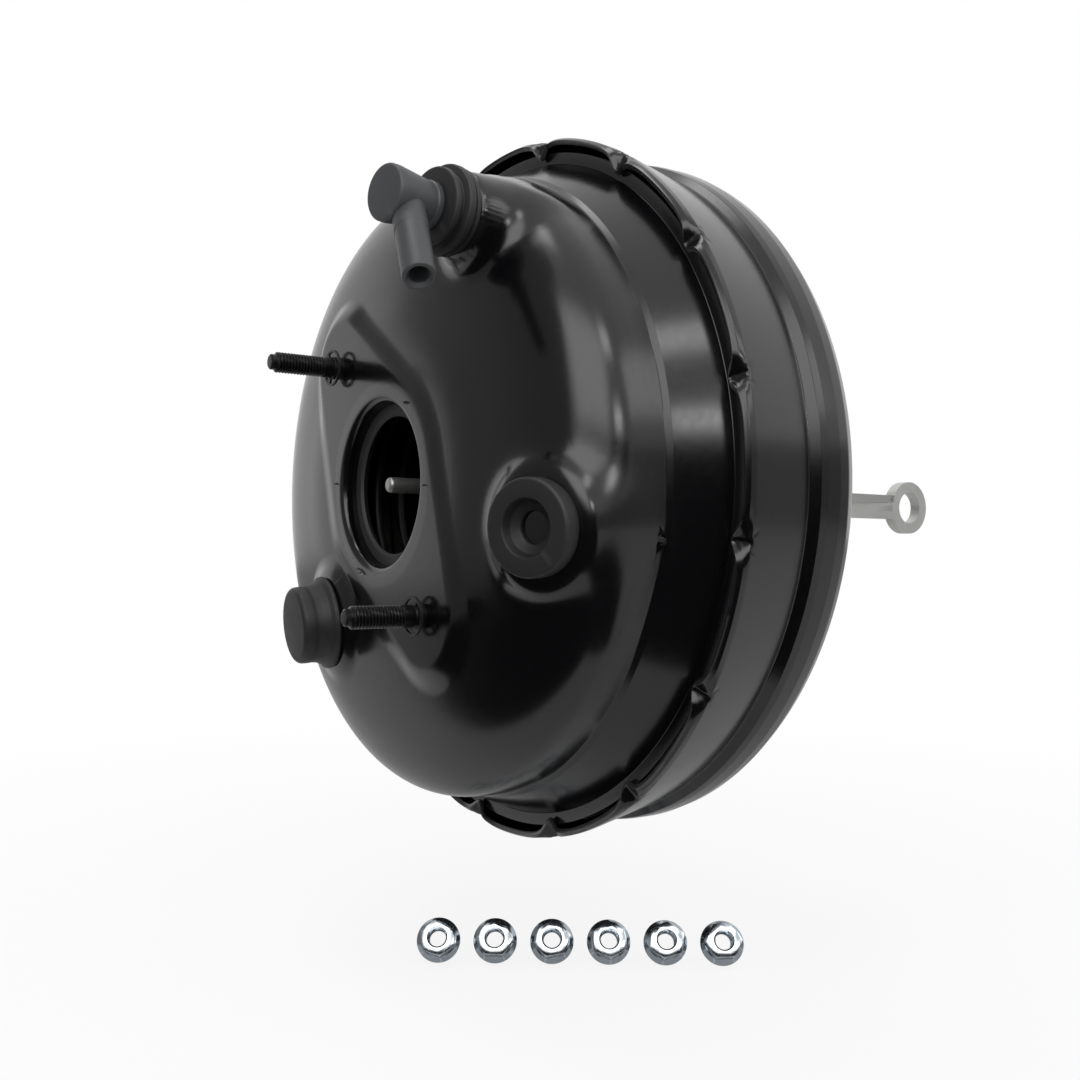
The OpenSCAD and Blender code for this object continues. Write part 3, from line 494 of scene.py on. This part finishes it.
refine(rear_shell, near_a_dent, 1)
shape = points_of(rear_shell)
radius = np.hypot(shape[:, 0], shape[:, 2])
inward, backward = np.zeros(len(shape)), np.zeros(len(shape))
behind = shape[:, 1] - DENT
toward_edge = ease((-61 - shape[:, 1]) / 4)
for turn in DENT_ANGLES:
    arc = arc_from(turn, shape)
    pit = np.hypot(arc / 1.1, behind)
    folds = np.exp(-((np.abs(arc) - 1.8 - 0.5 * behind) / 0.6) ** 2) * np.exp(-((behind - 1.9) / 1.5) ** 2)
    inward += 1.7 * np.exp(-(pit / 1.35) ** 2) + 0.25 * folds
    inward += toward_edge * (3.8 * np.exp(-(arc / 3.4) ** 2) + 1.7 * np.exp(-(arc / 8) ** 2))
    backward += 1.2 * toward_edge * np.exp(-(arc / 3.0) ** 2)
on_lip = (shape[:, 1] < -50) & (radius > 130)
scale = np.where(on_lip, (radius - inward) / radius, 1)
shape[:, 0] *= scale
shape[:, 2] *= scale
shape[:, 1] += np.where(on_lip, backward, 0)
set_points(rear_shell, shape)
apply_modifier(rear_shell, "SOLIDIFY", thickness=1.8 * MM, offset=-1)
apply_modifier(rear_shell, "BEVEL", width=0.6 * MM, segments=2, limit_method="ANGLE", angle_limit=math.radians(62))
dress(rear_shell, "housing", "black_paint", "rear_shell", angle=38)

# %% [markdown]
# ## Check valve, grommets and plug
# These are mouldings, so each is a spun outline with softened edges. The valve's hose nipple leaves
# its side at an angle: both are turned apart and joined by a boolean, which leaves the crisp line
# that the photograph shows where the two meet.

# %% Check valve
valve_place = boss_place(**{k: SEATS["valve"][k] for k in ("at", "tilt", "toward")})
valve = turned("check_valve_elbow", soft_corners([(0, -14), (6.5, -14), (7.1, -13), (7.1, 10.4), (8, 10.4, 0.3), (8, 12.4, 0.4),
                                                 (7.6, 12.8, 0.3), (9.3, 26, 4), (9.3, 29, 1.1), (0, 29)]), 96, valve_place)
nipple_place = (valve_place @ Matrix.Translation((0, 0, 20 * MM)) @ Matrix.Rotation(math.radians(-67), 4, "Z")
                @ Matrix.Rotation(math.radians(75), 4, "Y"))
nipple = turned("nipple", soft_corners([(0, 1), (5.6, 1), (5.6, 17, 0.1), (5.4, 17.3, 0.1), (5.4, 39, 0.6), (4.2, 39, 0.3),
                                        (3.2, 37.8, 0.3), (3.2, 22), (0, 22)]), 72, nipple_place)
apply_modifier(valve, "BOOLEAN", operation="UNION", solver="EXACT", object=nipple)
bpy.data.objects.remove(nipple)
dress(valve, "check_valve", "dark_nylon", "check_valve_body")

# %% Grommets and plug
valve_grommet = turned("valve_grommet_rubber", soft_corners([
    (7.15, -6), (11.9, -6, 0.5), (12.1, -2.1, 0.3), (9.9, -2.1, 0.2), (9.9, 0.3, 0.2), (14.7, 0.3, 0.5), (14.7, 2, 0.3),
    (13.7, 2.4, 0.2), (15.1, 3, 0.5), (15.1, 5.4, 0.9), (12.3, 6, 0.3), (12.3, 7.2, 0.2), (13.2, 7.6, 0.4), (13.2, 9.6, 0.8),
    (8.7, 10, 0.4), (7.15, 10)]), 96, valve_place, closed=True)
dress(valve_grommet, "housing", "black_rubber", "valve_grommet")
port_place = boss_place(**{k: SEATS["port"][k] for k in ("at", "tilt", "toward")})
port_grommet = turned("port_grommet_rubber", soft_corners([
    (5.2, -6), (12.3, -6, 0.6), (12.9, -2.1, 0.3), (10.9, -2.1, 0.2), (10.9, 0.3, 0.2), (15.6, 0.3, 0.5), (15.6, 7, 1.1),
    (9.3, 7, 0.5), (8.6, 5, 0.6), (8.2, 4.0, 0.4), (5.2, 2.6, 0.6), (5.2, -6)])[:-1], 96, port_place, closed=True)
dress(port_grommet, "housing", "black_rubber", "port_grommet")
plug_place = boss_place(**{k: SEATS["plug"][k] for k in ("at", "tilt", "toward")})
plug = turned("port_plug_rubber", soft_corners([
    (0, 9), (5, 9, 0.5), (6, 8), (6, -5.5, 0.4), (10.5, -5.5, 0.5), (11.1, -2.1, 0.3), (8.9, -2.1, 0.2), (8.9, 0.3, 0.2),
    (18, 0.3, 0.3), (18.6, 1, 0.4), (18.4, 2.2, 0.6), (17, 3.6, 1.5), (15.7, 6, 3), (15.3, 8.5, 3), (15.4, 10, 3), (15.2, 14.4, 4.2),
    (0, 14.4)]), 96, plug_place)
dress(plug, "housing", "black_rubber", "port_plug")

# %% [markdown]
# ## Threads
# A rolled M8 thread has a ridge every 1.25 mm that climbs round the stud. The stud is turned with
# many rows, and each point then moves in or out by where it stands on the helix. The ridge fades at
# both ends, as it does where the rolling dies let go.


# %% Studs
def cut_thread(piece, place, first, last, root, crest, pitch=1.25, inner=False):
    """Presses a helix into the wall between two heights of a turned piece."""
    back = place.inverted()
    shape = points_of(piece)
    turn, move = np.array(back.to_3x3()), np.array(back.translation) / MM
    local = shape @ turn.T + move
    radius = np.hypot(local[:, 0], local[:, 1])
    wall = (local[:, 2] > first) & (local[:, 2] < last) & (np.abs(radius - (root if inner else crest)) < 0.05)
    phase = (local[:, 2] / pitch - np.arctan2(local[:, 1], local[:, 0]) / math.tau) % 1
    ridge = np.clip(1.25 - np.abs(phase - 0.5) * 2.9, 0, 1)
    fade = ease((local[:, 2] - first) / 1.2) * ease((last - local[:, 2]) / 1.2)
    wanted = root + (crest - root) * ridge if inner else crest - (crest - root) * (1 - ridge)
    wanted = radius + (wanted - radius) * fade
    grow = np.where(wall, wanted / np.maximum(radius, 1e-6), 1)
    local[:, 0] *= grow
    local[:, 1] *= grow
    set_points(piece, (local - move) @ turn)


def stud(name, place, head, neck, length, first):
    outline = soft_corners([(0, -head - 4), (7.7, -head - 4, 0.6), (8.5, -head - 3.2, 0.4), (8.5, -head, 0.4), (4.4, -head, 0.3),
                            (4.4, neck), (4, neck + 0.4), (4, first - 0.5)], 3)
    rows = [(4, first + 0.16 * k) for k in range(int((length - 2.8 - first) / 0.16))]
    tip = soft_corners([(4, length - 2.8), (3, length - 2, 0.3), (3, length - 0.5), (2.4, length, 0.2), (0, length)], 3)
    piece = turned(name, outline + rows + tip, 48, place)
    cut_thread(piece, place, first, length - 2.6, 3.4, 4.0)
    return piece


for index, sign in enumerate((-1, 1)):
    place = Matrix.Translation(Vector((sign * 34.47, FRONT, -sign * 47.45)) * MM) @ FORWARD
    dress(stud(f"cylinder_stud_{index + 1}", place, 4.9, 3.55, 29.6, 7.5), "housing", "dark_zinc", "cylinder_studs")
for index, (x, z) in enumerate(((-40, -40), (40, -40), (-40, 40), (40, 40))):
    place = Matrix.Translation(Vector((x, 0, z)) * MM) @ ALONG_Y
    dress(stud(f"firewall_stud_{index + 1}", place, 2.1, -0.45, 27, 5), "housing", "dark_zinc", "firewall_studs")

# %% [markdown]
# ## The six flange nuts
# Each nut is a hexagon on a sloping flange with a threaded hole. A flange and a hexagon are turned
# and cut apart, joined, and bored with a threaded wall. One nut is made and copied six times; each
# copy has its own mesh and its own turn, as the nuts in the photograph do.

# %% Nuts
NUT_H, NUT_FLATS = 8.0, 13.0
corner = NUT_FLATS / 2 / math.cos(math.pi / 6)
clear_selection()
bpy.ops.mesh.primitive_cylinder_add(vertices=6, radius=corner * MM, depth=NUT_H * MM)
nut = bpy.context.object
nut.name = "flange_nut"
nut.data.transform(Matrix.Rotation(math.pi / 6, 4, "Z"))
apply_modifier(nut, "BEVEL", width=0.12 * MM, segments=2, limit_method="ANGLE")
cap = turned("nut_cap", soft_corners([(0, -4), (9, -4), (9, 2.6), (5.9, 4.02), (0, 4.02)]), 96)
apply_modifier(nut, "BOOLEAN", operation="INTERSECT", solver="EXACT", object=cap)
flange = turned("nut_flange", soft_corners([(0, -4), (8.35, -4, 0.1), (8.75, -3.6, 0.35), (8.75, -2.9, 0.35), (7.2, -1.6, 0.6),
                                            (6.4, -1.3), (0, -1.3)]), 96)
apply_modifier(nut, "BOOLEAN", operation="UNION", solver="EXACT", object=flange)
bore_wall = [(4.15, -4.2), (4.15, -4), (3.4, -3.3)] + [(3.4, -3.3 + 0.2 * k) for k in range(1, 33)] + [(4.15, 4), (4.15, 4.2)]
drill = turned("nut_drill", [(0, -4.2)] + bore_wall + [(0, 4.2)], 48)
cut_thread(drill, Matrix.Identity(4), -3.4, 3.4, 3.4, 3.95, inner=True)
apply_modifier(nut, "BOOLEAN", operation="DIFFERENCE", solver="EXACT", object=drill)
for tool in (cap, flange, drill):
    bpy.data.objects.remove(tool)
row = Matrix.Translation(Vector((18.4, -38.9, -179.7)) * MM) @ Matrix.Rotation(math.radians(55.5), 4, "Z")
for index, turn in enumerate((10, 28, 42, 5, 51, 33)):
    copy = nut.copy()
    copy.data = nut.data.copy()
    copy.name = copy.data.name = f"flange_nut_{index + 1}"
    bpy.context.scene.collection.objects.link(copy)
    copy.data.transform(row @ Matrix.Translation(((index - 2.5) * 22.8 * MM, 0, 0)) @ Matrix.Rotation(math.radians(-90.5), 4, "Z")
                        @ Matrix.Rotation(math.radians(63), 4, "Y") @ Matrix.Rotation(math.radians(turn), 4, "Z"))
    dress(copy, "housing", "bright_zinc", "mounting_nuts")
bpy.data.objects.remove(nut)

# %% [markdown]
# ## Push rod and output rod
# The push rod is one forging: a ball, a round shank with a spring collar, a flat bar and an eye. The
# round part is turned, the bar starts as a cube and the eye as a cylinder, and they are joined and
# given a small bevel, which stands for the die's draft. The output rod has a plain rounded tip.

# %% Rods
shank_outline = [(0, -17)] + [(5 * math.sin(math.radians(a)), -12 - 5 * math.cos(math.radians(a))) for a in range(10, 140, 8)]
shank_outline += soft_corners([(3.2, -7.6), (3.2, -2, 0.5), (5, 0, 0.5), (5, 24, 0.4), (12.2, 24, 0.3), (12.8, 24.6), (12.8, 26, 0.4),
                               (6, 26.4, 0.6), (5, 28, 0.6), (5, 100, 4), (2.8, 111, 1), (0, 111)])
rod = turned("push_rod", shank_outline, 64, ALONG_Y)
clear_selection()
bpy.ops.mesh.primitive_cube_add(size=1, location=(0, 137 * MM, 0), scale=(5.6 * MM, 66 * MM, 12 * MM))
bar = bpy.context.object
bpy.ops.object.transform_apply(location=True, rotation=True, scale=True)
bpy.ops.mesh.primitive_cylinder_add(vertices=96, radius=13.25 * MM, depth=5.6 * MM, location=(0, 180.7 * MM, 0),
                                    rotation=(0, math.pi / 2, 0))
eye = bpy.context.object
bpy.ops.object.transform_apply(location=True, rotation=True, scale=True)
bpy.ops.mesh.primitive_cylinder_add(vertices=96, radius=8 * MM, depth=12 * MM, location=(0, 180.7 * MM, 0),
                                    rotation=(0, math.pi / 2, 0))
pin_hole = bpy.context.object
bpy.ops.object.transform_apply(location=True, rotation=True, scale=True)
apply_modifier(bar, "BOOLEAN", operation="UNION", solver="EXACT", object=eye)
apply_modifier(bar, "BOOLEAN", operation="DIFFERENCE", solver="EXACT", object=pin_hole)
apply_modifier(bar, "BEVEL", width=0.6 * MM, segments=3, limit_method="ANGLE", angle_limit=math.radians(40))
apply_modifier(rod, "BOOLEAN", operation="UNION", solver="EXACT", object=bar)
for tool in (bar, eye, pin_hole):
    bpy.data.objects.remove(tool)
dress(rod, "input_rod", "rod_steel", "operating_rod")
output = turned("output_rod_steel", soft_corners([
    (0, -70.3), (13.8, -70.3, 0.4), (13.8, -75.7, 0.4), (5.4, -75.7, 0.5), (5.4, -82, 0.5), (3, -85, 0.5), (3, -118, 2.6),
    (0, -118)], 8), 64, ALONG_Y)
dress(output, "power_piston", "rod_steel", "output_rod")

# %% [markdown]
# ## Springs
# A spring is a wire swept along a helix whose end turns are closed down flat, so that it stands
# square. A curve with a round bevel gives the wire, and it becomes a mesh.


# %% Springs
def wound_wire(name, place, coil_r, wire_r, length, turns, per_turn=28):
    span, flat = length - 2 * wire_r, 0.08
    line = bpy.data.curves.new(name, "CURVE")
    line.dimensions = "3D"
    line.bevel_depth = wire_r * MM
    line.bevel_resolution = 3
    line.use_fill_caps = True
    spline = line.splines.new("POLY")
    count = int(turns * per_turn) + 1
    spline.points.add(count - 1)
    for i, point in enumerate(spline.points):
        u, a = i / (count - 1), math.tau * i / per_turn
        if u < flat:
            rise = 0.35 * u
        elif u > 1 - flat:
            rise = 1 - 0.35 * (1 - u)
        else:
            rise = 0.35 * flat + (u - flat) / (1 - 2 * flat) * (1 - 0.7 * flat)
        point.co = (coil_r * math.cos(a) * MM, coil_r * math.sin(a) * MM, (wire_r + rise * span) * MM, 1)
    clear_selection()
    wire = bpy.data.objects.new(name, line)
    bpy.context.scene.collection.objects.link(wire)
    wire.select_set(True)
    bpy.context.view_layer.objects.active = wire
    bpy.ops.object.convert(target="MESH")
    wire = bpy.context.object
    wire.data.transform(place)
    return wire


def at_y(y):
    return Matrix.Translation((0, y * MM, 0)) @ ALONG_Y


main_spring = dress(wound_wire("main_return_spring", at_y(-117.1), 40, 1.7, 46.8, 4.5), "housing", "spring_steel", "return_spring")
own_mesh(main_spring)
dress(wound_wire("poppet_spring_wire", at_y(-5.7), 9.3, 0.6, 13.7, 5), "power_piston", "spring_steel", "poppet_spring")
push_spring = dress(wound_wire("push_rod_spring", at_y(10), 11, 0.9, 13.7, 4), "power_piston", "spring_steel", "rod_spring")
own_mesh(push_spring)
lift_spring = dress(wound_wire("check_valve_coil", valve_place @ Matrix.Translation((0, 0, -9 * MM)), 4.5, 0.4, 12.7, 5),
                    "check_valve", "spring_steel", "check_valve_spring")
print("springs wound")

# %% [markdown]
# ## Dust boot
# The boot's folds shorten as the piston goes in, while its narrow cuff grips the rod and swings with
# it. Here the bellows are one piece that stays with the housing, and the cuff, a piece of its own,
# rides on the rod and slides over the bellows' small end.

# %% Boot
bellows = turned("dust_boot_bellows", soft_corners([
    (31.65, 18), (31.65, 33, 1), (34, 38, 1.4), (27.5, 43, 1.4), (33, 48, 1.4), (26.5, 53, 1.4), (31, 58, 1.4), (24, 63, 1.4),
    (28, 68, 1.4), (20, 73, 1.4), (23, 78, 1.4), (13, 82, 1), (12, 84)]), 128, ALONG_Y)
apply_modifier(bellows, "SOLIDIFY", thickness=1.6 * MM, offset=-1)
dress(bellows, "housing", "black_rubber", "dust_boot")
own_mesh(bellows)
cuff = turned("dust_boot_cuff", soft_corners([
    (5.1, 87), (17.5, 85, 0.3), (18, 86.4, 0.5), (9.6, 89.4, 1.2), (8.3, 92, 0.8), (8.3, 98, 0.6), (5.1, 98)]), 96, ALONG_Y, closed=True)
dress(cuff, "input_rod", "black_rubber", "dust_boot")

# %% [markdown]
# ## Diaphragms
# Each diaphragm is a sheet of rubber with a bead clamped in the crimp and its middle carried by a
# piston plate. Here each is spun from its outline, given its thickness and smoothed, and it stays
# where it is made, tied to no body.


# %% Diaphragms
def diaphragm(name, outline, thickness, node):
    piece = turned(name, short_steps(soft_corners(outline), 3), 128, ALONG_Y)
    apply_modifier(piece, "SOLIDIFY", thickness=thickness * MM, offset=-1)
    clear_selection()
    piece.select_set(True)
    bpy.context.view_layer.objects.active = piece
    bpy.ops.object.shade_smooth_by_angle(angle=math.radians(40))
    piece.data.materials.append(FINISH["black_rubber"])
    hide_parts(node)
    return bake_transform(piece)


diaphragm("primary_diaphragm_sheet", [(130.6, -55), (125, -55, 1), (126.6, -49, 2), (128, -36, 4), (128.2, -13.4, 7), (60, -13.4, 2),
                                      (25.6, -13.4)], 1.9, "primary_diaphragm")
diaphragm("secondary_diaphragm_sheet", [(130.6, -58.8), (122, -59.1, 1), (118, -61.6, 1), (114, -64.3, 1), (60, -64.4, 1),
                                        (25.6, -64.4)], 1.2, "secondary_diaphragm")

# %% [markdown]
# ## Light and flags
# Gloss black shows mostly what stands round it, so it is lit as in a studio: a white cove, one broad
# softbox above the camera, one overhead, two small ones for the band, and flags low down and at the front left. The flags
# are only there for reflections. They give the paint its depth, and leave a pale sheen at the left.


# %% Lamps
def softbox(name, at, aim, width, height, power, feather=0.5):
    """A panel lamp that fades towards its edges, as cloth over a lamp does."""
    lamp = bpy.data.lights.new(name, "AREA")
    lamp.shape = "RECTANGLE"
    lamp.size, lamp.size_y, lamp.energy = width, height, power
    lamp.use_nodes = True
    lamp.node_tree.nodes.clear()
    across = add(lamp, "ShaderNodeSeparateXYZ", {}, {0: add(lamp, "ShaderNodeNewGeometry").outputs["Parametric"]})
    fades = []
    for way in ("X", "Y"):
        middle = add(lamp, "ShaderNodeMath", {"operation": "PINGPONG", 1: 0.5}, {0: across.outputs[way]})
        fades.append(add(lamp, "ShaderNodeMapRange", {"interpolation_type": "SMOOTHSTEP", "From Max": feather / 2},
                         {"Value": middle.outputs[0]}).outputs["Result"])
    strength = add(lamp, "ShaderNodeMath", {"operation": "MULTIPLY"}, {0: fades[0], 1: fades[1]})
    glow = add(lamp, "ShaderNodeEmission", {}, {"Strength": strength.outputs[0]})
    add(lamp, "ShaderNodeOutputLight", {}, {"Surface": glow.outputs[0]})
    holder = bpy.data.objects.new(name, lamp)
    bpy.context.scene.collection.objects.link(holder)
    holder.location = at
    holder.rotation_euler = (Vector(aim) - Vector(at)).to_track_quat("-Z", "Y").to_euler()
    return holder


softbox("front_softbox", (0.93, -0.92, 0.84), (0, -0.1, 0), 1.75, 1.3, 18)
softbox("overhead_softbox", (-0.24, -0.34, 1.46), (0, -0.1, 0), 0.9, 0.7, 7)
softbox("right_softbox", (1.35, 0.85, 0.9), (0, -0.05, 0), 1.1, 0.8, 5)
softbox("band_softbox", (1.4, -0.1, 1.42), (0.12, -0.07, 0.04), 0.6, 0.42, 4)
softbox("band_strip", (1.88, -0.1, 0.69), (0.12, -0.07, 0.02), 0.6, 0.3, 4.5)

# %% Flags
def flag_cloth(level):
    """Black cloth, or a grey net that lets a share of the white behind it through."""
    cloth = bpy.data.materials.new(f"flag_cloth_{round(level * 100)}")
    cloth.use_nodes = True
    cloth.node_tree.nodes.clear()
    net = add(cloth, "ShaderNodeEmission", {"Color": (1, 1, 1, 1), "Strength": level})
    add(cloth, "ShaderNodeOutputMaterial", {}, {"Surface": net.outputs[0]})
    return cloth


def seen_from_drum(turn, rise, far=2.2):
    """A point in the direction that a compass angle and a height angle give, from the drum's face."""
    a, b = math.radians(turn), math.radians(rise)
    return Vector((far * math.cos(a) * math.cos(b), far * math.sin(a) * math.cos(b) - 0.1, far * math.sin(b)))


def flag(name, corners, level=0.01):
    """A cloth with four corners, in the order low left, low right, high left, high right."""
    clear_selection()
    bpy.ops.mesh.primitive_plane_add(size=1)
    card = bpy.context.object
    card.name = card.data.name = name
    for point, at in zip(card.data.vertices, corners):
        point.co = at
    card.data.materials.append(flag_cloth(level))
    card.visible_camera = card.visible_diffuse = card.visible_transmission = card.visible_shadow = False
    return card


flag("front_left_flag", [seen_from_drum(221, -32), seen_from_drum(287, -32), seen_from_drum(181, 66), seen_from_drum(287, 62)], 0.3)
flag("camera_side_flag", [seen_from_drum(284, -32), seen_from_drum(371, -32), seen_from_drum(284, 7), seen_from_drum(371, 7)])
flag("right_flag", [seen_from_drum(371, -32), seen_from_drum(441, -32), seen_from_drum(371, 9), seen_from_drum(441, 9)], 0.35)
flag("band_flag", [seen_from_drum(345, 2), seen_from_drum(376, 2), seen_from_drum(345, 13), seen_from_drum(376, 13)])
flag("right_floor_flag", [(0.19, -3, -0.19), (3, -3, -0.19), (0.19, 0, -0.19), (3, 0.9, -0.19)])
flag("front_floor_flag", [(-3, -5, -0.191), (3, -5, -0.191), (-3, -1.705, -0.191), (0.19, -0.11, -0.191)])
print("flags and lamps set")

# %% [markdown]
# ## World and floor
# The camera, mirror-like metal and clear things see a plain white world. The floor is pale and keeps
# the object's soft shadow, and it fades into the world further out, so that no horizon shows.

# %% World
world = bpy.data.worlds.new("studio")
bpy.context.scene.world = world
world.use_nodes = True
world.node_tree.nodes.clear()
rays = add(world, "ShaderNodeLightPath").outputs
seen = add(world, "ShaderNodeMath", {"operation": "MAXIMUM"}, {0: rays["Is Camera Ray"], 1: rays["Is Glossy Ray"]})
seen = add(world, "ShaderNodeMath", {"operation": "MAXIMUM"}, {0: seen.outputs[0], 1: rays["Is Transmission Ray"]})
level = add(world, "ShaderNodeMapRange", {"To Min": 0.4, "To Max": 1.0}, {"Value": seen.outputs[0]})
sky = add(world, "ShaderNodeBackground", {"Color": (1, 1, 1, 1)}, {"Strength": level.outputs["Result"]})
add(world, "ShaderNodeOutputWorld", {}, {"Surface": sky.outputs[0]})

# %% Floor
clear_selection()
bpy.ops.mesh.primitive_plane_add(size=8, location=(0, 0, -0.1925))
floor = bpy.context.object
floor.name = "studio_floor"
card = bpy.data.materials.new("pale_floor_card")
card.use_nodes = True
card.node_tree.nodes.clear()
rays = add(card, "ShaderNodeLightPath").outputs
where = add(card, "ShaderNodeTexCoord").outputs["Object"]
away = add(card, "ShaderNodeVectorMath", {"operation": "LENGTH"}, {0: where})
fade = add(card, "ShaderNodeMapRange", {"From Min": 0.1, "From Max": 0.7, "To Min": 0.86, "To Max": 1.0}, {"Value": away.outputs["Value"]})
matt = add(card, "ShaderNodeBsdfDiffuse", {"Color": linear("#f4f4f4")})
glow = add(card, "ShaderNodeEmission", {"Color": (1, 1, 1, 1), "Strength": 1.0})
share = add(card, "ShaderNodeMath", {"operation": "MULTIPLY"}, {0: rays["Is Camera Ray"], 1: fade.outputs["Result"]})
both = add(card, "ShaderNodeMixShader", {}, {0: share.outputs[0], 1: matt.outputs[0], 2: glow.outputs[0]})
add(card, "ShaderNodeOutputMaterial", {}, {"Surface": both.outputs[0]})
floor.data.materials.append(card)
bpy.context.scene.view_settings.view_transform = "Standard"
print("studio ready")
